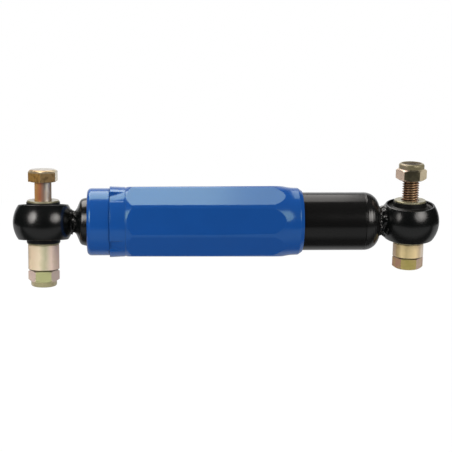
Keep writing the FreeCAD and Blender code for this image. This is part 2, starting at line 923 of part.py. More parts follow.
def skirt_floor():
    """Ramp that the skirt's pockets run out on, ending in a fine groove before the shell."""
    ramp_end = skirt_end - pocket_run_out
    return turned_on_rod([
        (collar_end, 0),
        (collar_end, skirt_bore_radius + pocket_floor),
        (ramp_end, skirt_end_radius),
        (skirt_end - skirt_groove, skirt_end_radius),
        (skirt_end, skirt_end_radius - skirt_groove),
        (skirt_end, 0),
    ])


def skirt_pads():
    """The skirt's four pads as one cross, their outer edges rounded, with a pocket in each corner."""
    side = pad_width / 2
    reach = skirt_rim_radius + skirt_wall
    corner = Part.makeBox(skirt_length, reach, reach, Vec(collar_end - eye_to_eye, side, side))
    skirt = turned_on_rod([
        (collar_end, 0),
        (collar_end, skirt_rim_radius),
        (skirt_end - skirt_groove, skirt_end_radius),
        (skirt_end - skirt_groove, 0),
    ])
    cross = skirt.cut(around_damper(corner, pad_count))
    edges = []
    for edge in cross.Edges:
        middle = edge.valueAt((edge.FirstParameter + edge.LastParameter) / 2)
        at_rim = abs(middle.x - collar_end + eye_to_eye) < TOUCH
        outside = math.hypot(middle.y, middle.z) > skirt_end_radius - skirt_groove
        if outside and (at_rim or edge.Length < skirt_length + TOUCH):
            edges.append(edge)
    return cross.makeFillet(pad_round, edges)


def dust_sleeve():
    """Moulded dust sleeve: skirt and shell in one, bored for the collar, the tube and the mouth."""
    socket_end = collar_end + spigot_length + stop_gap
    bore = turned_on_rod([
        (collar_end, 0),
        (collar_end, skirt_bore_radius),
        (socket_end, skirt_bore_radius),
        (socket_end, sleeve_bore_radius),
        (sleeve_end - mouth_lip_length, sleeve_bore_radius),
        (sleeve_end - mouth_lip_length / 2, mouth_bore_radius),
        (sleeve_end, mouth_bore_radius),
        (sleeve_end, 0),
    ])
    sleeve = sleeve_shell().fuse([skirt_floor(), skirt_pads()]).cut(bore)
    sleeve.rotate(ORIGIN, X_AXIS, sleeve_turn)
    return sleeve


def body_pieces():
    """Everything that stays with the tube."""
    discs = {f"base_valve_disc_{number + 1}": base_valve_disc(number) for number in range(valve_disc_count)}
    return discs | {
        "reserve_tube": reserve_tube(),
        "base_cap": base_cap(),
        "body_eye_ring": eye_ring(),
        "body_eye_bush": eye_bush(-body_turn),
        "body_eye_weld": body_eye_weld(),
        "pressure_tube": pressure_tube(),
        "base_valve_body": base_valve_body(),
        "base_check_disc": base_check_disc(),
        "base_valve_pin": base_valve_pin(),
        "rod_guide": rod_guide(),
        "guide_bush": guide_bush(),
        "guide_seal_ring": guide_seal_ring(),
        "rod_seal": rod_seal(),
        "closing_washer": closing_washer(),
    }


def rod_pieces():
    """Everything that slides and turns with the rod."""
    discs = {f"rebound_disc_{number + 1}": rebound_disc(number) for number in range(rebound_disc_count)}
    return discs | {
        "piston_rod": piston_rod(),
        "piston": piston(),
        "piston_band": piston_band(),
        "check_disc": check_disc(),
        "check_spring": check_spring(),
        "stop_plate": stop_plate(),
        "rebound_stop": rebound_stop(),
        "piston_nut": piston_nut(),
        "rod_cap": rod_cap(),
        "rod_eye_weld": rod_eye_weld(),
        "rod_eye_ring": at_rod_eye(eye_ring()),
        "rod_eye_bush": at_rod_eye(eye_bush(rod_pin_turn - rod_turn)),
        "sleeve_collar": sleeve_collar(),
        "dust_sleeve": dust_sleeve(),
        "bump_stop": bump_stop(),
    }


def main():
    os.makedirs("parts", exist_ok=True)
    groups = [
        (body_pin(), 0.0),
        (body_pieces(), body_turn),
        (rod_pieces(), rod_turn),
        (rod_pin(), rod_pin_turn),
    ]
    for pieces, turn in groups:
        for name, shape in pieces.items():
            shape.rotate(ORIGIN, X_AXIS, turn)
            shape.exportStep(f"parts/{name}.step")


main()
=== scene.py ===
import json
import math

import bmesh
import bpy
from mathutils import Matrix, Vector, noise


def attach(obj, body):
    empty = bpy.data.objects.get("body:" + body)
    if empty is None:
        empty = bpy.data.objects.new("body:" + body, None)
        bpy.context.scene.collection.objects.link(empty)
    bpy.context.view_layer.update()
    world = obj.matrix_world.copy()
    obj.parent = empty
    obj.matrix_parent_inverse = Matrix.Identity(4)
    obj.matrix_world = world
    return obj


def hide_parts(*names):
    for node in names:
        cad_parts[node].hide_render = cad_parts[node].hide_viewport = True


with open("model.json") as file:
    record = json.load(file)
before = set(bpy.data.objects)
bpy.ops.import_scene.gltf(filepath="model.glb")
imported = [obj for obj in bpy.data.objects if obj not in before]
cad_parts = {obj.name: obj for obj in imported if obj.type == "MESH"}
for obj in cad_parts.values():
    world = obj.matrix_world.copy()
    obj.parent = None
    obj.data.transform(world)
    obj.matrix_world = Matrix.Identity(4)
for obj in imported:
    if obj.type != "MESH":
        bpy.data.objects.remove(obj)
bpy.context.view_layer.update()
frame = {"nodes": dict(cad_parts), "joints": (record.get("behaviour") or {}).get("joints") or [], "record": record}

MM = 0.001
MERGE = 0.001 * MM
FULL_TURN = 2 * math.pi
UP = Vector((0, 0, 1))
ALONG = Vector((1, 0, 0))

# The camera looks a little from the rod's end and from above. Angles are in degrees, places in metres.
VIEW_AZIMUTH = -4.2
VIEW_ELEVATION = 13.0
VIEW_DISTANCE = 0.95
VIEW_ROLL = 0.776
VIEW_AIM = Vector((-0.131439, 0, -0.003346))
LENS_MM = 106.654
SENSOR_MM = 36.0

# The lights: name, place, aim, width, height, strength, spread in degrees and shape.
# Each bank or panel has a smaller core that brightens part of its highlight.
LAMP_TINT = (1.0, 0.96, 0.92)
SIDE_AIM = (-0.35, 0, 0)
OPEN_SPREAD = 180
GRID_SPREAD = 62
LIGHTS = (
    ("overhead_bank", (-0.33, 0.42, 0.79), (-0.33, 0, 0), 0.9, 0.75, 1.6, OPEN_SPREAD, "RECTANGLE"),
    ("overhead_core", (-0.42, 0.41, 0.775), (-0.42, 0, 0), 0.7, 0.75, 1.15, OPEN_SPREAD, "RECTANGLE"),
    ("left_panel", (-0.62, -0.37, 0.24), SIDE_AIM, 0.3, 0.44, 4.0, GRID_SPREAD, "ELLIPSE"),
    ("left_core", (-0.62, -0.37, 0.24), SIDE_AIM, 0.18, 0.28, 8.0, GRID_SPREAD, "ELLIPSE"),
    ("right_panel", (0.285, -0.41, 0.27), SIDE_AIM, 0.54, 0.4, 1.4, OPEN_SPREAD, "ELLIPSE"),
    ("right_core", (0.31, -0.38, 0.27), SIDE_AIM, 0.26, 0.22, 1.1, OPEN_SPREAD, "ELLIPSE"),
)

# The room round the part: a fill that grows with the height of a direction, and in reflections a dark room
# that turns white straight behind the part.
FILL_HEIGHTS = (-0.2, 1.0)
FILL_LEVELS = (0.14, 1.2)
ROOM_DEPTHS = (0.7, 1.0)
ROOM_LEVELS = (0.018, 1.0)

# The floor in metres, how bright the camera sees it and how much light it throws back. In reflections it
# is pale in places, from its near limit along Y (0) to its far limit (1), and dark in a band straight
# under the part, which is a painted shadow.
FLOOR_RADIUS = 1.5
FLOOR_DROP = 0.3
FLOOR_SIDES = 96
FLOOR_GREY = (0.03, 0.03, 0.03)
FLOOR_SEEN = 0.975
FLOOR_BOUNCE = 1.15
FLOOR_LIMITS = (-1.5, 0.5)
FLOOR_GLEAM = (
    (0.0, 0.02), (0.25, 0.24), (0.6, 0.25), (0.685, 0.02), (0.765, 0.02), (0.805, 0.42), (1.0, 0.42),
)

# M12 bolts: the thread with its run-out, the chamfer at its point and its facets in one turn. Each head
# bears at a seat, measured from the eye's centre towards the point, and keeps a stub of shank.
BOLT_RADIUS = 5.95 * MM
THREAD_PITCH = 1.75 * MM
THREAD_DEPTH = 0.6134 * THREAD_PITCH
THREAD_LENGTH = 30 * MM
THREAD_RUN_OUT = 1.5 * THREAD_PITCH
THREAD_POINT = 1.0 * MM
THREAD_STEPS = 72
BODY_BOLT_SEAT = -25.8 * MM
BODY_BOLT_LENGTH = 65 * MM
ROD_BOLT_SEAT = -28.5 * MM
ROD_BOLT_LENGTH = 70 * MM
HEAD_STUB = 0.05 * MM

# One pitch of the thread, as shares of it: the end of its flat root, and both ends of its crest.
ROOT_END = 0.22
CREST_START = 0.54
CREST_END = 0.68

# Painted shade: the threads darken towards their roots, between these shares of their depth.
ROOT_SHADE_DEPTHS = (0.35, 0.95)

# Outlines in millimetres from an eye's centre, as (along, radius) or (along, radius, rounding). The welds
# lie along the damper, with points close enough together to take the lumps. The rubber and its collar lie
# along the bolt, and only one end of each is given.
ROD_WELD = (
    (19.0, 5.8), (19.0, 8.6), (19.5, 8.6), (20.0, 8.0), (20.5, 7.4), (21.0, 7.1), (21.5, 7.0), (22.0, 7.1),
    (22.5, 7.4), (23.0, 8.2), (23.4, 8.6), (23.4, 5.8),
)
BODY_WELD = (
    (-23.0, 5.8), (-23.0, 11.2), (-22.5, 11.1), (-22.0, 10.5), (-21.4, 10.0), (-20.8, 9.8), (-20.2, 9.8),
    (-19.6, 10.0), (-19.0, 10.4), (-18.4, 10.9), (-17.8, 11.5), (-17.2, 12.0), (-17.2, 5.8),
)
RUBBER_END = ((9.8, 12.7), (9.8, 14.6, 0.5), (10.6, 16.2, 0.15))
COLLAR_END = ((14.3, 11.36), (14.3, 11.75, 0.15), (11.0, 11.75, 0.5), (9.6, 14.4, 0.6))

# Noise that makes the lumps of the welds: how fast finer lumps weaken, their step in size, and layers.
LUMP_NOISE = (1.0, 2.0, 2)

# Facets round the welds and the rubber, and along one rounded corner.
ROUND_STEPS = 192
CORNER_STEPS = 6

# Edges that turn by more degrees than this stay sharp: on most pieces, on hexagons, and none on the welds.
SHARP_ANGLE = 35
HEX_SHARP_ANGLE = 20
WELD_SHARP_ANGLE = 180

# Samples of the nodes that round an edge or find it, and how softly a band on a bolt ends.
EDGE_SAMPLES = 6
BAND_SOFTNESS = 0.15 * MM

# The eyes: how each ring is turned about the damper's axis, in degrees, and the bolts through them.
BODY_RING_TURN = 4.5
ROD_RING_TURN = -10.5
joint_by_name = {joint["name"]: joint for joint in frame["joints"]}
BODY_EYE = Vector(joint_by_name["body_eye_swing"]["pos_m"])
ROD_EYE = Vector(joint_by_name["rod_eye_swing"]["pos_m"])
BODY_BOLT_AXIS = Vector(joint_by_name["body_eye_swing"]["axis"]).normalized()
ROD_BOLT_AXIS = Vector(joint_by_name["rod_eye_swing"]["axis"]).normalized()


def tone(red, green, blue):
    """Scene-linear colour from the 0 to 255 values of a picture."""
    parts = []
    for value in (red, green, blue):
        part = value / 255
        parts.append(part / 12.92 if part <= 0.04045 else ((part + 0.055) / 1.055) ** 2.4)
    return tuple(parts)


BLACK = tone(16, 16, 16)
BLACK_SHADE = tone(13, 13, 13)
EYE_BLACK = tone(7, 9, 9)
EYE_SHADE = tone(5, 7, 7)
BLUE = tone(19, 71, 142)
BLUE_SHADE = tone(17, 67, 136)
# Painted highlight along the sleeve's edges.
BLUE_EDGE_HIGHLIGHT = tone(60, 110, 180)
BLUE_GLOSS = (0.62, 1.0, 0.84)
DUST = tone(190, 185, 175)
# Painted shadow: a dark line on each spacer where it meets the bolt's head or nut.
GAP_SHADOW = tone(52, 42, 30)
# Painted shade in the roots of the threads.
ROOT_SHADE = tone(58, 38, 24)
# Painted highlight on the edges of the zinc hardware.
EDGE_HIGHLIGHT = tone(246, 232, 204)


def close_mesh(mesh):
    """Merges coincident points and turns every face outwards."""
    bmesh.ops.remove_doubles(mesh, verts=mesh.verts, dist=MERGE)
    bmesh.ops.recalc_face_normals(mesh, faces=mesh.faces)


def finish_mesh(name, mesh, materials, sharp=SHARP_ANGLE):
    """Turns a bmesh into a smooth-shaded object."""
    close_mesh(mesh)
    data = bpy.data.meshes.new(name)
    mesh.to_mesh(data)
    mesh.free()
    # Normals that come with a copied CAD mesh no longer fit once it is cut.
    if data.has_custom_normals:
        data.attributes.remove(data.attributes["custom_normal"])
    for material in materials:
        data.materials.append(material)
    data.shade_smooth()
    data.set_sharp_from_angle(angle=math.radians(sharp))
    piece = bpy.data.objects.new(name, data)
    bpy.context.scene.collection.objects.link(piece)
    return piece


def stand_for(piece, node, body):
    """The piece rides on a body in place of a CAD node."""
    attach(piece, body)
    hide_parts(node)


def joined(meshes):
    """One bmesh from several."""
    whole = bmesh.new()
    for mesh in meshes:
        data = bpy.data.meshes.new("part")
        mesh.to_mesh(data)
        mesh.free()
        whole.from_mesh(data)
        bpy.data.meshes.remove(data)
    return whole


def fill_rims(mesh):
    """Closes every open rim with a face."""
    rims = [edge for edge in mesh.edges if edge.is_boundary]
    bmesh.ops.edgeloop_fill(mesh, edges=rims)


def rounded_outline(corners):
    """Closed outline through (a, b) or (a, b, rounding) corners, as points in millimetres."""
    points = []
    places = [Vector(corner[:2]) for corner in corners]
    for index, corner in enumerate(corners):
        here = places[index]
        if len(corner) == 2:
            points.append(here)
            continue
        back = (places[index - 1] - here).normalized()
        ahead = (places[(index + 1) % len(places)] - here).normalized()
        half = back.angle(ahead) / 2
        reach = corner[2] / math.tan(half)
        middle = here + (back + ahead).normalized() * corner[2] / math.sin(half)
        first = here + back * reach - middle
        last = here + ahead * reach - middle
        for step in range(CORNER_STEPS + 1):
            points.append(middle + first.slerp(last, step / CORNER_STEPS) * corner[2])
    return points


def turned(corners, axis):
    """Ring turned about X or Z from a rounded outline of (along, radius) corners in millimetres."""
    mesh = bmesh.new()
    side = UP if axis == ALONG else ALONG
    verts = []
    for along, radius in rounded_outline(corners):
        verts.append(mesh.verts.new((axis * along + side * radius) * MM))
    edges = [mesh.edges.new((verts[index - 1], vert)) for index, vert in enumerate(verts)]
    bmesh.ops.spin(
        mesh, geom=verts + edges, cent=(0, 0, 0), axis=axis, angle=FULL_TURN, steps=ROUND_STEPS,
        use_merge=True,
    )
    close_mesh(mesh)
    return mesh


# Shader node groups and the materials.


def new_group(name, inputs, outputs):
    """An empty shader node group with named sockets."""
    tree = bpy.data.node_groups.new(name, "ShaderNodeTree")
    for label, kind, value in inputs:
        socket = tree.interface.new_socket(label, in_out="INPUT", socket_type=kind)
        if value is not None:
            socket.default_value = value
    for label, kind in outputs:
        tree.interface.new_socket(label, in_out="OUTPUT", socket_type=kind)
    return tree, tree.nodes.new("NodeGroupInput"), tree.nodes.new("NodeGroupOutput")


def add_node(tree, kind, values=None, **settings):
    """A node with its settings and the plain values of its inputs."""
    node = tree.nodes.new(kind)
    for key, value in settings.items():
        setattr(node, key, value)
    for key, value in (values or {}).items():
        node.inputs[key].default_value = value
    return node


def use_group(tree, group, values):
    """A group node with the plain values of its inputs."""
    node = tree.nodes.new("ShaderNodeGroup")
    node.node_tree = group
    for key, value in values.items():
        node.inputs[key].default_value = value
    return node


def maths(tree, operation, first, second):
    """A math node between two sockets or numbers."""
    node = add_node(tree, "ShaderNodeMath", operation=operation)
    for slot, value in enumerate((first, second)):
        if isinstance(value, (int, float)):
            node.inputs[slot].default_value = value
        else:
            tree.links.new(value, node.inputs[slot])
    return node.outputs[0]


def mixed(tree, factor, first, second):
    """A colour mix between two sockets or plain colours."""
    node = add_node(tree, "ShaderNodeMix", data_type="RGBA")
    tree.links.new(factor, node.inputs[0])
    for slot, value in ((6, first), (7, second)):
        if isinstance(value, tuple):
            node.inputs[slot].default_value = (*value, 1)
        else:
            tree.links.new(value, node.inputs[slot])
    return node.outputs[2]


def ranged(tree, value, limits, levels=(0.0, 1.0)):
    """A value between two limits, stretched to lie between two levels."""
    node = add_node(tree, "ShaderNodeMapRange", {
        "From Min": limits[0], "From Max": limits[1], "To Min": levels[0], "To Max": levels[1],
    })
    tree.links.new(value, node.inputs["Value"])
    return node.outputs["Result"]


def coordinates(tree, kind):
    """The X, Y and Z of a texture coordinate."""
    split = add_node(tree, "ShaderNodeSeparateXYZ")
    tree.links.new(add_node(tree, "ShaderNodeTexCoord").outputs[kind], split.inputs[0])
    return split.outputs


def fill_ramp(ramp, colours):
    """Sets a colour ramp's stops from (place, colour) pairs."""
    stops = ramp.color_ramp.elements
    while len(stops) < len(colours):
        stops.new(1.0)
    for stop, (place, colour) in zip(stops, colours):
        stop.position = place
        stop.color = (*colour, 1)


def make_fine_skin():
    """Fine skin of paint, plastic or plating: a softened and bumped normal, uneven roughness, cloud."""
    tree, start, end = new_group("fine_skin", [
        ("Grain Scale", "NodeSocketFloat", 900.0),
        ("Grain Depth", "NodeSocketFloat", 0.01 * MM),
        ("Roughness", "NodeSocketFloat", 0.3),
        ("Spread", "NodeSocketFloat", 0.05),
        ("Edge Rounding", "NodeSocketFloat", 0.2 * MM),
    ], [
        ("Normal", "NodeSocketVector"),
        ("Roughness", "NodeSocketFloat"),
        ("Cloud", "NodeSocketFloat"),
    ])
    place = add_node(tree, "ShaderNodeTexCoord").outputs["Object"]
    grain = add_node(tree, "ShaderNodeTexNoise", {"Detail": 2.0})
    cloud = add_node(tree, "ShaderNodeTexNoise", {"Scale": 70.0, "Detail": 4.0})
    tree.links.new(place, grain.inputs["Vector"])
    tree.links.new(place, cloud.inputs["Vector"])
    tree.links.new(start.outputs["Grain Scale"], grain.inputs["Scale"])
    soft = add_node(tree, "ShaderNodeBevel", samples=EDGE_SAMPLES)
    tree.links.new(start.outputs["Edge Rounding"], soft.inputs["Radius"])
    bump = add_node(tree, "ShaderNodeBump")
    tree.links.new(start.outputs["Grain Depth"], bump.inputs["Distance"])
    tree.links.new(grain.outputs["Fac"], bump.inputs["Height"])
    tree.links.new(soft.outputs["Normal"], bump.inputs["Normal"])
    tree.links.new(bump.outputs["Normal"], end.inputs["Normal"])
    lift = maths(tree, "SUBTRACT", cloud.outputs["Fac"], 0.5)
    lift = maths(tree, "MULTIPLY", lift, start.outputs["Spread"])
    tree.links.new(maths(tree, "ADD", start.outputs["Roughness"], lift), end.inputs["Roughness"])
    tree.links.new(cloud.outputs["Fac"], end.inputs["Cloud"])
    return tree


def make_edge_wear_and_highlight():
    """Mask of the edges, broken up by a noise: for worn edges and for painted edge highlights."""
    tree, start, end = new_group("edge_wear_and_highlight", [
        ("Radius", "NodeSocketFloat", 0.4 * MM),
        ("Amount", "NodeSocketFloat", 0.3),
    ], [("Mask", "NodeSocketFloat")])
    soft = add_node(tree, "ShaderNodeBevel", samples=EDGE_SAMPLES)
    tree.links.new(start.outputs["Radius"], soft.inputs["Radius"])
    own = add_node(tree, "ShaderNodeNewGeometry").outputs["Normal"]
    agree = add_node(tree, "ShaderNodeVectorMath", operation="DOT_PRODUCT")
    tree.links.new(soft.outputs["Normal"], agree.inputs[0])
    tree.links.new(own, agree.inputs[1])
    edge = ranged(tree, agree.outputs["Value"], (0.99, 0.9))
    place = add_node(tree, "ShaderNodeTexCoord").outputs["Object"]
    break_up = add_node(tree, "ShaderNodeTexNoise", {"Scale": 500.0, "Detail": 3.0})
    tree.links.new(place, break_up.inputs["Vector"])
    patchy = maths(tree, "MULTIPLY", edge, break_up.outputs["Fac"])
    tree.links.new(maths(tree, "MULTIPLY", patchy, start.outputs["Amount"]), end.inputs["Mask"])
    return tree


def make_settled_dust():
    """Mask of thin dust on faces that look upwards."""
    tree, start, end = new_group("settled_dust", [
        ("Amount", "NodeSocketFloat", 0.05),
    ], [("Mask", "NodeSocketFloat")])
    upward = ranged(tree, coordinates(tree, "Normal")["Z"], (0.2, 1.0))
    place = add_node(tree, "ShaderNodeTexCoord").outputs["Object"]
    specks = add_node(tree, "ShaderNodeTexNoise", {"Scale": 1500.0, "Detail": 6.0, "Roughness": 0.7})
    tree.links.new(place, specks.inputs["Vector"])
    thin = maths(tree, "MULTIPLY", upward, specks.outputs["Fac"])
    tree.links.new(maths(tree, "MULTIPLY", thin, start.outputs["Amount"]), end.inputs["Mask"])
    return tree


def make_turned_lines():
    """Normal of fine lines left by turning or spinning, along one coordinate."""
    tree, start, end = new_group("turned_lines", [
        ("Along", "NodeSocketFloat", 0.0),
        ("Lines per Metre", "NodeSocketFloat", 2000.0),
        ("Depth", "NodeSocketFloat", 0.01 * MM),
        ("Normal", "NodeSocketVector", None),
    ], [("Normal", "NodeSocketVector")])
    count = maths(tree, "MULTIPLY", start.outputs["Along"], start.outputs["Lines per Metre"])
    uneven = add_node(tree, "ShaderNodeTexNoise", {"Scale": 1.0, "Detail": 2.0}, noise_dimensions="1D")
    tree.links.new(count, uneven.inputs["W"])
    wave = maths(tree, "SINE", maths(tree, "MULTIPLY", count, FULL_TURN), 0.0)
    bump = add_node(tree, "ShaderNodeBump")
    tree.links.new(start.outputs["Depth"], bump.inputs["Distance"])
    tree.links.new(maths(tree, "ADD", wave, uneven.outputs["Fac"]), bump.inputs["Height"])
    tree.links.new(start.outputs["Normal"], bump.inputs["Normal"])
    tree.links.new(bump.outputs["Normal"], end.inputs["Normal"])
    return tree


def make_facing_turn():
    """Turn of a face about Z, with a wandering edge, and patches: zinc takes plating tints and painted light and
    shade by it.
    """
    tree, start, end = new_group("facing_turn", [
        ("Wander", "NodeSocketFloat", 0.06),
        ("Patch Scale", "NodeSocketFloat", 160.0),
        ("Shift", "NodeSocketFloat", 0.0),
    ], [("Turn", "NodeSocketFloat"), ("Patch", "NodeSocketFloat")])
    normal = coordinates(tree, "Normal")
    angle = maths(tree, "ARCTAN2", normal["X"], maths(tree, "MULTIPLY", normal["Y"], -1.0))
    turn = maths(tree, "ADD", maths(tree, "MULTIPLY", angle, 1 / FULL_TURN), 0.5)
    place = add_node(tree, "ShaderNodeTexCoord").outputs["Object"]
    moved = add_node(tree, "ShaderNodeVectorMath", operation="ADD")
    tree.links.new(place, moved.inputs[0])
    tree.links.new(start.outputs["Shift"], moved.inputs[1])
    patch = add_node(tree, "ShaderNodeTexNoise", {"Detail": 3.0, "Roughness": 0.55})
    tree.links.new(moved.outputs["Vector"], patch.inputs["Vector"])
    tree.links.new(start.outputs["Patch Scale"], patch.inputs["Scale"])
    sway = maths(tree, "SUBTRACT", patch.outputs["Fac"], 0.5)
    sway = maths(tree, "MULTIPLY", sway, start.outputs["Wander"])
    tree.links.new(maths(tree, "ADD", turn, sway), end.inputs["Turn"])
    tree.links.new(patch.outputs["Fac"], end.inputs["Patch"])
    return tree


def make_bolt_band():
    """Mask of a band round a bolt, between two heights along its axis in metres."""
    tree, start, end = new_group("bolt_band", [
        ("Axis", "NodeSocketVector", (0, 0, 1)),
        ("Low", "NodeSocketFloat", 0.0),
        ("High", "NodeSocketFloat", 0.0),
        ("Amount", "NodeSocketFloat", 1.0),
    ], [("Mask", "NodeSocketFloat")])
    along = add_node(tree, "ShaderNodeVectorMath", operation="DOT_PRODUCT")
    tree.links.new(add_node(tree, "ShaderNodeTexCoord").outputs["Object"], along.inputs[0])
    tree.links.new(start.outputs["Axis"], along.inputs[1])
    above = maths(tree, "SUBTRACT", along.outputs["Value"], start.outputs["Low"])
    below = maths(tree, "SUBTRACT", start.outputs["High"], along.outputs["Value"])
    inside = ranged(tree, maths(tree, "MINIMUM", above, below), (-BAND_SOFTNESS, BAND_SOFTNESS))
    mask = maths(tree, "MULTIPLY", inside, start.outputs["Amount"])
    tree.links.new(mask, end.inputs["Mask"])
    return tree


def make_thread_root_shade():
    """Mask of painted shade in the roots of a bolt's thread, by the distance from the bolt's axis."""
    tree, start, end = new_group("thread_root_shade", [
        ("Centre", "NodeSocketVector", (0, 0, 0)),
        ("Axis", "NodeSocketVector", (0, 0, 1)),
    ], [("Mask", "NodeSocketFloat")])
    from_centre = add_node(tree, "ShaderNodeVectorMath", operation="SUBTRACT")
    tree.links.new(add_node(tree, "ShaderNodeTexCoord").outputs["Object"], from_centre.inputs[0])
    tree.links.new(start.outputs["Centre"], from_centre.inputs[1])
    across = add_node(tree, "ShaderNodeVectorMath", operation="CROSS_PRODUCT")
    tree.links.new(from_centre.outputs["Vector"], across.inputs[0])
    tree.links.new(start.outputs["Axis"], across.inputs[1])
    radius = add_node(tree, "ShaderNodeVectorMath", operation="LENGTH")
    tree.links.new(across.outputs["Vector"], radius.inputs[0])
    limits = [BOLT_RADIUS - share * THREAD_DEPTH for share in ROOT_SHADE_DEPTHS]
    tree.links.new(ranged(tree, radius.outputs["Value"], limits), end.inputs["Mask"])
    return tree


FINE_SKIN = make_fine_skin()
EDGE_WEAR_AND_HIGHLIGHT = make_edge_wear_and_highlight()
SETTLED_DUST = make_settled_dust()
TURNED_LINES = make_turned_lines()
FACING_TURN = make_facing_turn()
BOLT_BAND = make_bolt_band()
THREAD_ROOT_SHADE = make_thread_root_shade()


def new_material(name, colour, metallic, roughness, specular=0.5):
    """A material with its Principled shader's plain values set."""
    material = bpy.data.materials.new(name)
    material.use_nodes = True
    tree = material.node_tree
    shader = tree.nodes["Principled BSDF"]
    shader.inputs["Base Color"].default_value = (*colour, 1)
    shader.inputs["Metallic"].default_value = metallic
    shader.inputs["Roughness"].default_value = roughness
    shader.inputs["Specular IOR Level"].default_value = specular
    return material, tree, shader


def make_look(
    name, colour, shade, metallic=0.0, roughness=0.3, spread=0.1, grain=900.0, depth=0.01, rounding=0.2,
    specular=0.5, gloss=(1.0, 1.0, 1.0), wear_and_highlight_colour=None, wear_and_highlight_amount=0.3, dust=0.0, lines=None,
):
    """A surface of two close tones with a fine skin, and with lighter edges, dust or turned lines.

    Depth and rounding are in millimetres. Lines are an axis, a count per metre and a depth in millimetres.
    """
    material, tree, shader = new_material(name, colour, metallic, roughness, specular)
    shader.inputs["Specular Tint"].default_value = (*gloss, 1)
    skin = use_group(tree, FINE_SKIN, {
        "Grain Scale": grain, "Grain Depth": depth * MM, "Roughness": roughness, "Spread": spread,
        "Edge Rounding": rounding * MM,
    })
    paint = mixed(tree, skin.outputs["Cloud"], colour, shade)
    # Lighter edges: wear on the valve steel, a painted highlight on the blue plastic.
    if wear_and_highlight_colour:
        edges = use_group(tree, EDGE_WEAR_AND_HIGHLIGHT, {"Radius": 2 * rounding * MM, "Amount": wear_and_highlight_amount})
        paint = mixed(tree, edges.outputs["Mask"], paint, wear_and_highlight_colour)
    if dust:
        film = use_group(tree, SETTLED_DUST, {"Amount": dust})
        paint = mixed(tree, film.outputs["Mask"], paint, DUST)
    normal = skin.outputs["Normal"]
    if lines:
        axis, count, groove = lines
        marks = use_group(tree, TURNED_LINES, {"Lines per Metre": count, "Depth": groove * MM})
        tree.links.new(coordinates(tree, "Object")[axis], marks.inputs["Along"])
        tree.links.new(normal, marks.inputs["Normal"])
        normal = marks.outputs["Normal"]
    tree.links.new(paint, shader.inputs["Base Color"])
    tree.links.new(skin.outputs["Roughness"], shader.inputs["Roughness"])
    tree.links.new(normal, shader.inputs["Normal"])
    return material


def zinc_look(
    name, tints_and_painted_light, patch, patch_amount=0.3, shift=0.0, wander=0.06, scale=160.0, roughness=0.22, metallic=0.5,
    bands=(), thread=None,
):
    """Yellow zinc: plating tints and painted light and shade round the piece as (turn, colour), where 0.5 faces
    the front, and patches.

    A band is an axis, its ends along it in millimetres, an amount and a colour. A thread is a centre and
    an axis.
    """
    material = make_look(
        name, tints_and_painted_light[0][1], tints_and_painted_light[0][1], metallic, roughness, spread=0.06, grain=2500.0, depth=0.001,
        rounding=0.25,
    )
    tree = material.node_tree
    shader = tree.nodes["Principled BSDF"]
    face_turn = use_group(tree, FACING_TURN, {"Wander": wander, "Patch Scale": scale, "Shift": shift})
    ramp = add_node(tree, "ShaderNodeValToRGB")
    fill_ramp(ramp, tints_and_painted_light)
    tree.links.new(face_turn.outputs["Turn"], ramp.inputs["Fac"])
    strength = ranged(tree, face_turn.outputs["Patch"], (0.45, 0.7), (0.0, patch_amount))
    paint = mixed(tree, strength, ramp.outputs["Color"], patch)
    for axis, low, high, amount, colour in bands:
        band = use_group(tree, BOLT_BAND, {
            "Axis": axis, "Low": low * MM, "High": high * MM, "Amount": amount,
        })
        paint = mixed(tree, band.outputs["Mask"], paint, colour)
    if thread:
        centre, axis = thread
        # Painted shade darkens the thread towards its roots.
        mask = use_group(tree, THREAD_ROOT_SHADE, {"Centre": centre, "Axis": axis})
        paint = mixed(tree, mask.outputs["Mask"], paint, ROOT_SHADE)
    else:
        # Pale edges: a painted highlight on chamfers and corners.
        mask = use_group(tree, EDGE_WEAR_AND_HIGHLIGHT, {"Radius": 0.35 * MM, "Amount": 0.6})
        paint = mixed(tree, mask.outputs["Mask"], paint, EDGE_HIGHLIGHT)
    tree.links.new(paint, shader.inputs["Base Color"])
    return material


def make_black_paints():
    """Black paint by node: on the tube, the spun base cap, the ball eyes and rod cap, and the welds."""
    tube = make_look(
        "tube_paint", BLACK, BLACK_SHADE, roughness=0.17, grain=700, depth=0.002, rounding=0.3,
        specular=0.58, dust=0.006,
    )
    spun = make_look(
        "spun_cap_paint", BLACK, BLACK_SHADE, roughness=0.2, grain=700, depth=0.002, rounding=0.3,
        specular=0.95, lines=("X", 670, 0.025),
    )
    eye = make_look(
        "eye_paint", EYE_BLACK, EYE_SHADE, roughness=0.21, grain=700, depth=0.002, rounding=0.3,
        specular=0.9,
    )
    weld = make_look(
        "weld_paint", EYE_BLACK, EYE_SHADE, roughness=0.11, grain=1200, depth=0.002, specular=1.0,
    )
    return {
        "reserve_tube": tube,
        "base_cap": spun,
        "rod_cap": eye,
        "body_eye_ring": eye,
        "rod_eye_ring": eye,
        "body_eye_weld": weld,
        "rod_eye_weld": weld,
    }


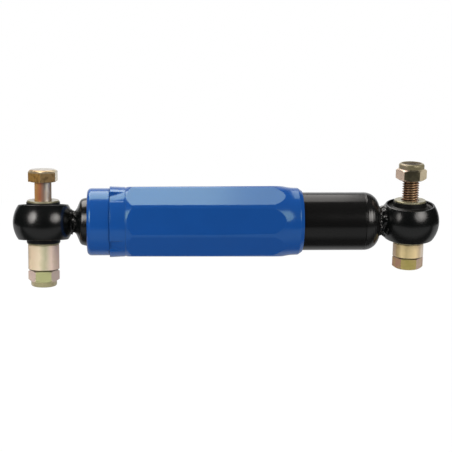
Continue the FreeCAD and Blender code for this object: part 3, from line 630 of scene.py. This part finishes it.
def make_plastics_and_rubbers():
    """Moulded plastics and rubbers by slot."""
    return {
        "blue_plastic": make_look(
            "blue_plastic", BLUE, BLUE_SHADE, roughness=0.16, spread=0.04, grain=2500, depth=0.0006,
            rounding=0.7, specular=0.79, gloss=BLUE_GLOSS, wear_and_highlight_colour=BLUE_EDGE_HIGHLIGHT, wear_and_highlight_amount=0.4,
        ),
        "bush_rubber": make_look(
            "bush_rubber", tone(14, 14, 13), tone(11, 11, 10), roughness=0.45, grain=1500, depth=0.008,
            specular=0.35, rounding=0.3, dust=0.03,
        ),
        "stop_rubber": make_look(
            "stop_rubber", tone(38, 37, 36), tone(30, 29, 29), roughness=0.7, grain=1200, depth=0.02,
            specular=0.3,
        ),
        "seal_rubber": make_look(
            "seal_rubber", tone(30, 30, 30), tone(24, 24, 25), roughness=0.35, grain=1500, depth=0.01,
            specular=0.4,
        ),
        "nylon": make_look(
            "nylon", tone(120, 112, 100), tone(106, 100, 90), roughness=0.45, grain=1500, depth=0.006,
        ),
        "band_plastic": make_look(
            "band_plastic", tone(132, 122, 104), tone(118, 108, 90), roughness=0.45, grain=2000,
            depth=0.006,
        ),
    }


def make_bare_metals():
    """The metals inside the damper, by slot."""
    return {
        "rod_chrome": make_look(
            "rod_chrome", tone(214, 216, 220), tone(204, 206, 210), 1.0, 0.12, 0.05, 3000, 0.0005,
            lines=("X", 5000, 0.0006),
        ),
        "valve_steel": make_look(
            "valve_steel", tone(176, 178, 180), tone(156, 158, 162), 1.0, 0.32, 0.15, 1500, 0.002,
            wear_and_highlight_colour=tone(215, 216, 218), lines=("X", 4000, 0.001),
        ),
        "sintered_iron": make_look(
            "sintered_iron", tone(112, 112, 116), tone(88, 88, 92), 1.0, 0.5, 0.2, 4000, 0.02,
        ),
        "bearing_bronze": make_look(
            "bearing_bronze", tone(196, 158, 96), tone(170, 128, 74), 1.0, 0.35, 0.15, 2000, 0.003,
        ),
    }


def make_zinc_looks():
    """Yellow zinc by node: each piece of the bolts' hardware has its own plating tints, and painted light and
    shade round it.
    """
    # The sleeve is painted lighter where it faces the front and darker to its sides: painted light and shade.
    sleeve = zinc_look("sleeve_zinc", [
        (0.0, tone(134, 127, 106)), (0.35, tone(150, 144, 112)), (0.5, tone(186, 180, 150)),
        (0.65, tone(150, 144, 112)), (1.0, tone(134, 127, 106)),
    ], tone(120, 114, 88), 0.6, metallic=0.6)
    return {
        "body_eye_sleeve": sleeve,
        "rod_eye_sleeve": sleeve,
        # The rod spacer's brightest stops are painted highlights where the side lights mirror in it, its green and
        # pink stops are plating tints, and its band is a painted shadow where it meets the nut.
        "rod_eye_spacer": zinc_look("rod_spacer_zinc", [
            (0.0, tone(190, 160, 120)), (0.3, tone(190, 168, 140)), (0.37, tone(231, 207, 178)),
            (0.458, tone(243, 226, 196)), (0.523, tone(200, 197, 164)), (0.59, tone(253, 227, 211)),
            (0.67, tone(200, 174, 164)), (1.0, tone(190, 160, 120)),
        ], tone(220, 208, 170), metallic=0.35, bands=[(ROD_BOLT_AXIS, -33.6, -32.9, 1.0, GAP_SHADOW)]),
        # The body spacer's brightest stops are painted highlights where the side lights mirror in it, and its band
        # is a painted shadow where it meets the bolt's head.
        "body_eye_spacer": zinc_look("body_spacer_zinc", [
            (0.0, tone(186, 160, 104)), (0.306, tone(198, 172, 145)), (0.34, tone(184, 158, 110)),
            (0.4, tone(253, 228, 169)), (0.46, tone(210, 189, 136)), (0.544, tone(252, 226, 172)),
            (0.6, tone(220, 198, 165)), (0.65, tone(225, 211, 195)), (1.0, tone(186, 160, 104)),
        ], tone(228, 212, 168), 0.2, 0.3, metallic=0.35, bands=[(BODY_BOLT_AXIS, -26.0, -25.1, 1.0, GAP_SHADOW)]),
        "rod_eye_nut": zinc_look("rod_nut_zinc", [
            (0.0, tone(190, 170, 130)), (0.36, tone(206, 182, 173)), (0.43, tone(194, 196, 142)),
            (0.57, tone(194, 196, 142)), (0.64, tone(196, 176, 168)), (1.0, tone(190, 170, 130)),
        ], tone(204, 200, 154), shift=0.7, metallic=0.4, bands=[
            (ROD_BOLT_AXIS, -46.0, -42.0, 0.8, tone(170, 162, 126)),
        ]),
        # The body nut's dark front is a painted reflection of the dark room, and its pale sides are painted
        # highlights.
        "body_eye_nut": zinc_look("body_nut_zinc", [
            (0.0, tone(190, 170, 130)), (0.38, tone(252, 224, 206)), (0.44, tone(64, 60, 46)),
            (0.55, tone(64, 60, 46)), (0.62, tone(232, 217, 185)), (1.0, tone(190, 170, 130)),
        ], tone(140, 132, 104), 0.3, 1.1, metallic=0.4, bands=[
            (BODY_BOLT_AXIS, 38.4, 43.0, 0.85, tone(138, 129, 99)),
        ]),
    }


def dress_nodes(by_slot, by_node):
    """Gives every CAD node its own look, or the look of its slot."""
    for entry in frame["record"]["subparts"]:
        node = entry["node"]
        look = by_node.get(node) or by_slot[entry["material_slot"]]
        data = frame["nodes"][node].data
        data.materials.clear()
        data.materials.append(look)


# The bolts, welds and rubber bushes, which stand in for their plain CAD solids.


def threaded_shank(length):
    """Shank along +Z from near the head, with a thread that runs out towards the head."""
    mesh = bmesh.new()
    start = length - THREAD_LENGTH
    root = BOLT_RADIUS - THREAD_DEPTH
    outline = ((0.0, root), (ROOT_END, root), (CREST_START, BOLT_RADIUS), (CREST_END, BOLT_RADIUS))
    verts = []
    for turn in range(-1, math.ceil(THREAD_LENGTH / THREAD_PITCH) + 2):
        for part, radius in outline:
            verts.append(mesh.verts.new((radius, 0, start + (turn + part) * THREAD_PITCH)))
    edges = [mesh.edges.new(pair) for pair in zip(verts, verts[1:])]
    climb = Vector((0, 0, THREAD_PITCH / THREAD_STEPS))
    bmesh.ops.spin(
        mesh, geom=verts + edges, cent=(0, 0, 0), axis=UP, dvec=climb, angle=FULL_TURN, steps=THREAD_STEPS
    )
    bmesh.ops.remove_doubles(mesh, verts=mesh.verts, dist=MERGE)
    for height, facing in ((start, -UP), (length, UP)):
        everything = mesh.verts[:] + mesh.edges[:] + mesh.faces[:]
        bmesh.ops.bisect_plane(
            mesh, geom=everything, plane_co=UP * height, plane_no=facing, clear_outer=True,
        )
    for vert in mesh.verts:
        radius = math.hypot(vert.co.x, vert.co.y)
        cut = min(1, max(0, (vert.co.z - start) / THREAD_RUN_OUT))
        wanted = BOLT_RADIUS - (BOLT_RADIUS - radius) * cut
        wanted = min(wanted, BOLT_RADIUS - max(0, vert.co.z - length + THREAD_POINT))
        vert.co.x *= wanted / radius
        vert.co.y *= wanted / radius
    near_start = start + THREAD_PITCH / 2
    rim = [edge for edge in mesh.edges if edge.is_boundary and edge.verts[0].co.z < near_start]
    grown = bmesh.ops.extrude_edge_only(mesh, edges=rim)["geom"]
    for vert in grown:
        if isinstance(vert, bmesh.types.BMVert):
            vert.co.z = HEAD_STUB
    fill_rims(mesh)
    close_mesh(mesh)
    return mesh


def bolt_piece(name, node, body, centre, direction, seat, length, materials):
    """The CAD bolt's head with a threaded shank. The direction points from the head to the point."""
    bearing = centre + direction * seat
    head = bmesh.new()
    head.from_mesh(frame["nodes"][node].data)
    bmesh.ops.remove_doubles(head, verts=head.verts, dist=MERGE)
    everything = head.verts[:] + head.edges[:] + head.faces[:]
    cut = bearing + direction * HEAD_STUB
    bmesh.ops.bisect_plane(head, geom=everything, plane_co=cut, plane_no=direction, clear_outer=True)
    fill_rims(head)
    for face in head.faces:
        face.material_index = 0
    shank = threaded_shank(length)
    shank.transform(Matrix.Translation(bearing) @ UP.rotation_difference(direction).to_matrix().to_4x4())
    for face in shank.faces:
        face.material_index = 1
    piece = finish_mesh(name, joined([head, shank]), materials, HEX_SHARP_ANGLE)
    stand_for(piece, node, body)


def make_bolts():
    """Both bolts, with heads and shanks in their own plating tints and painted light and shade."""
    rod_head = zinc_look("rod_head_zinc", [
        (0.0, tone(172, 164, 150)), (0.2, tone(190, 150, 90)), (0.4, tone(184, 142, 80)),
        (0.5, tone(160, 122, 80)), (0.567, tone(158, 130, 88)), (0.66, tone(190, 170, 130)),
        (0.733, tone(226, 218, 190)), (1.0, tone(172, 164, 150)),
    ], tone(92, 70, 38), 0.75, 0.2, scale=420.0, metallic=0.6, bands=[
        (ROD_BOLT_AXIS, 34.9, 36.5, 0.6, tone(188, 176, 150)),
    ])
    # The rod shank's near-white stop is a painted highlight.
    rod_shank = zinc_look("rod_shank_zinc", [
        (0.0, tone(180, 130, 90)), (0.36, tone(206, 158, 98)), (0.456, tone(172, 108, 77)),
        (0.533, tone(148, 138, 129)), (0.593, tone(252, 246, 232)), (0.673, tone(157, 146, 127)),
        (1.0, tone(180, 130, 90)),
    ], tone(180, 108, 70), shift=0.5, metallic=0.45, thread=(ROD_EYE, ROD_BOLT_AXIS))
    body_head = zinc_look("body_head_zinc", [
        (0.0, tone(190, 150, 100)), (0.36, tone(194, 144, 126)), (0.44, tone(212, 194, 130)),
        (0.56, tone(216, 191, 105)), (0.64, tone(206, 176, 160)), (1.0, tone(190, 150, 100)),
    ], tone(190, 184, 96), 0.5, 0.9, metallic=0.6)
    # The thread's bright stops are painted highlights in upright streaks round it.
    body_shank = zinc_look("body_thread_zinc", [
        (0.0, tone(130, 96, 70)), (0.361, tone(150, 111, 80)), (0.414, tone(214, 176, 142)),
        (0.466, tone(138, 106, 69)), (0.52, tone(238, 202, 160)), (0.563, tone(206, 160, 117)),
        (0.616, tone(240, 210, 184)), (0.7, tone(130, 90, 64)), (1.0, tone(130, 96, 70)),
    ], tone(110, 76, 52), 0.15, 1.4, wander=0.01, metallic=0.55, thread=(BODY_EYE, BODY_BOLT_AXIS))
    bolt_piece(
        "body_bolt", "body_eye_bolt", "body_pin", BODY_EYE, BODY_BOLT_AXIS, BODY_BOLT_SEAT,
        BODY_BOLT_LENGTH, [body_head, body_shank],
    )
    bolt_piece(
        "rod_bolt", "rod_eye_bolt", "rod_pin", ROD_EYE, -ROD_BOLT_AXIS, ROD_BOLT_SEAT,
        ROD_BOLT_LENGTH, [rod_head, rod_shank],
    )


def weld_bead(name, node, body, eye, outline, lump_size, lump_height, inner, material):
    """Ring of weld beside an eye, uneven outside the inner radius. Lumps and radius are in millimetres."""
    mesh = turned([(eye.x / MM + along, radius) for along, radius in outline], ALONG)
    for vert in mesh.verts:
        spoke = Vector((0, vert.co.y, vert.co.z))
        if spoke.length > inner * MM:
            lump = noise.fractal(vert.co / (lump_size * MM), *LUMP_NOISE)
            vert.co += spoke.normalized() * lump * lump_height * MM
    stand_for(finish_mesh(name, mesh, [material], WELD_SHARP_ANGLE), node, body)


def make_welds(material):
    """The welds between the eyes and the rod cap or the base cap."""
    weld_bead(
        "rod_weld_bead", "rod_eye_weld", "rod", ROD_EYE, ROD_WELD,
        lump_size=2.3, lump_height=1.8, inner=6.6, material=material,
    )
    weld_bead(
        "body_weld_bead", "body_eye_weld", "damper_body", BODY_EYE, BODY_WELD,
        lump_size=2.6, lump_height=1.6, inner=8.0, material=material,
    )


def both_ends(outline):
    """The whole outline of a ring from that of its upper end."""
    lower = [(-along, *rest) for along, *rest in outline]
    return lower + list(reversed(outline))


def rubber_bush(name, node, body, centre, ring_axis, pin_axis, material):
    """Rubber that fills the ring, with a collar that stands up round the inner sleeve at each end."""
    filling = turned(both_ends(RUBBER_END), UP)
    collar = turned(both_ends(COLLAR_END), UP)
    for mesh, axis in ((filling, ring_axis), (collar, pin_axis)):
        mesh.transform(Matrix.Translation(centre) @ UP.rotation_difference(axis).to_matrix().to_4x4())
    stand_for(finish_mesh(name, joined([filling, collar]), [material]), node, body)


def make_bushes(material):
    """The rubber of both eyes: it follows the ring outside and the bolt inside."""
    body_ring = Matrix.Rotation(math.radians(BODY_RING_TURN), 3, "X") @ UP
    rod_ring = Matrix.Rotation(math.radians(ROD_RING_TURN), 3, "X") @ UP
    rubber_bush("body_bush", "body_eye_bush", "damper_body", BODY_EYE, body_ring, BODY_BOLT_AXIS, material)
    rubber_bush("rod_bush", "rod_eye_bush", "rod", ROD_EYE, rod_ring, ROD_BOLT_AXIS, material)


# The camera, the lights and the floor.


def facing_from(azimuth, elevation):
    """Direction towards a viewer at an azimuth and an elevation, and the turn that looks back."""
    level = math.cos(math.radians(elevation))
    back = Vector((
        math.sin(math.radians(azimuth)) * level,
        -math.cos(math.radians(azimuth)) * level,
        math.sin(math.radians(elevation)),
    ))
    return back, (-back).to_track_quat("-Z", "Y").to_matrix().to_4x4()


def set_camera():
    """A camera at the picture's viewing angle."""
    back, facing = facing_from(VIEW_AZIMUTH, VIEW_ELEVATION)
    data = bpy.data.cameras.new("camera")
    data.lens = LENS_MM
    data.sensor_width = SENSOR_MM
    camera = bpy.data.objects.new("camera", data)
    bpy.context.scene.collection.objects.link(camera)
    roll = Matrix.Rotation(math.radians(VIEW_ROLL), 4, "Z")
    camera.matrix_world = Matrix.Translation(VIEW_AIM + back * VIEW_DISTANCE) @ facing @ roll
    bpy.context.scene.camera = camera


def softbox(name, place, aim, width, height, strength, spread, shape):
    """A flat light at a place, facing a point. A narrow spread is a grid before the light.

    Its power goes with its size and with what a grid lets through, so neither changes its brightness.
    """
    data = bpy.data.lights.new(name, "AREA")
    data.shape = shape
    data.size = width
    data.size_y = height
    half = math.radians(spread) / 2
    data.spread = 2 * half
    data.energy = strength * width * height * 4 * (1 - half / math.tan(half))
    data.color = LAMP_TINT
    light = bpy.data.objects.new(name, data)
    bpy.context.scene.collection.objects.link(light)
    facing = (Vector(aim) - Vector(place)).to_track_quat("-Z", "Y").to_matrix().to_4x4()
    light.matrix_world = Matrix.Translation(place) @ facing


def set_world():
    """The room: white to the camera, with the fill and the reflections that its levels give."""
    world = bpy.data.worlds.new("studio")
    bpy.context.scene.world = world
    world.use_nodes = True
    tree = world.node_tree
    background = tree.nodes["Background"]
    path = add_node(tree, "ShaderNodeLightPath")
    direction = coordinates(tree, "Generated")
    room = ranged(tree, direction["Y"], ROOM_DEPTHS, ROOM_LEVELS)
    fill = ranged(tree, direction["Z"], FILL_HEIGHTS, FILL_LEVELS)
    glossy = add_node(tree, "ShaderNodeMix")
    tree.links.new(path.outputs["Is Glossy Ray"], glossy.inputs["Factor"])
    tree.links.new(fill, glossy.inputs["A"])
    tree.links.new(room, glossy.inputs["B"])
    seen = maths(tree, "MAXIMUM", path.outputs["Is Camera Ray"], path.outputs["Is Transmission Ray"])
    white = add_node(tree, "ShaderNodeMix", {"B": 1.0})
    tree.links.new(seen, white.inputs["Factor"])
    tree.links.new(glossy.outputs["Result"], white.inputs["A"])
    background.inputs["Color"].default_value = (1, 1, 1, 1)
    tree.links.new(white.outputs["Result"], background.inputs["Strength"])


def set_floor():
    """Plain pale floor that the camera sees as white, apart from the part's shadow."""
    mesh = bmesh.new()
    bmesh.ops.create_circle(mesh, cap_ends=True, segments=FLOOR_SIDES, radius=FLOOR_RADIUS)
    bmesh.ops.translate(mesh, verts=mesh.verts, vec=(VIEW_AIM.x, 0, -FLOOR_DROP))
    material, tree, shader = new_material("floor", FLOOR_GREY, metallic=0.0, roughness=0.8, specular=0.0)
    shader.inputs["Emission Color"].default_value = (1, 1, 1, 1)
    path = add_node(tree, "ShaderNodeLightPath")
    seen = maths(tree, "MULTIPLY", path.outputs["Is Camera Ray"], FLOOR_SEEN)
    bounce = maths(tree, "MULTIPLY", path.outputs["Is Diffuse Ray"], FLOOR_BOUNCE)
    depth = ranged(tree, coordinates(tree, "Object")["Y"], FLOOR_LIMITS)
    pale = add_node(tree, "ShaderNodeValToRGB")
    fill_ramp(pale, [(place, (level, level, level)) for place, level in FLOOR_GLEAM])
    tree.links.new(depth, pale.inputs["Fac"])
    mirrored = maths(tree, "MULTIPLY", path.outputs["Is Glossy Ray"], pale.outputs["Color"])
    glow = maths(tree, "ADD", maths(tree, "ADD", seen, bounce), mirrored)
    tree.links.new(glow, shader.inputs["Emission Strength"])
    finish_mesh("floor", mesh, [material])


def set_studio():
    """The lights, the room and the floor, with colours shown as they are."""
    for light in LIGHTS:
        softbox(*light)
    set_world()
    set_floor()
    bpy.context.scene.view_settings.view_transform = "Standard"


looks_by_slot = make_plastics_and_rubbers() | make_bare_metals()
looks_by_node = make_black_paints() | make_zinc_looks()
make_bolts()
# The CAD bolts lie hidden behind their threaded pieces and take the plating of their nuts.
for eye in ("body_eye", "rod_eye"):
    looks_by_node[f"{eye}_bolt"] = looks_by_node[f"{eye}_nut"]
dress_nodes(looks_by_slot, looks_by_node)
make_welds(looks_by_node["rod_eye_weld"])
make_bushes(looks_by_slot["bush_rubber"])
set_camera()
set_studio()
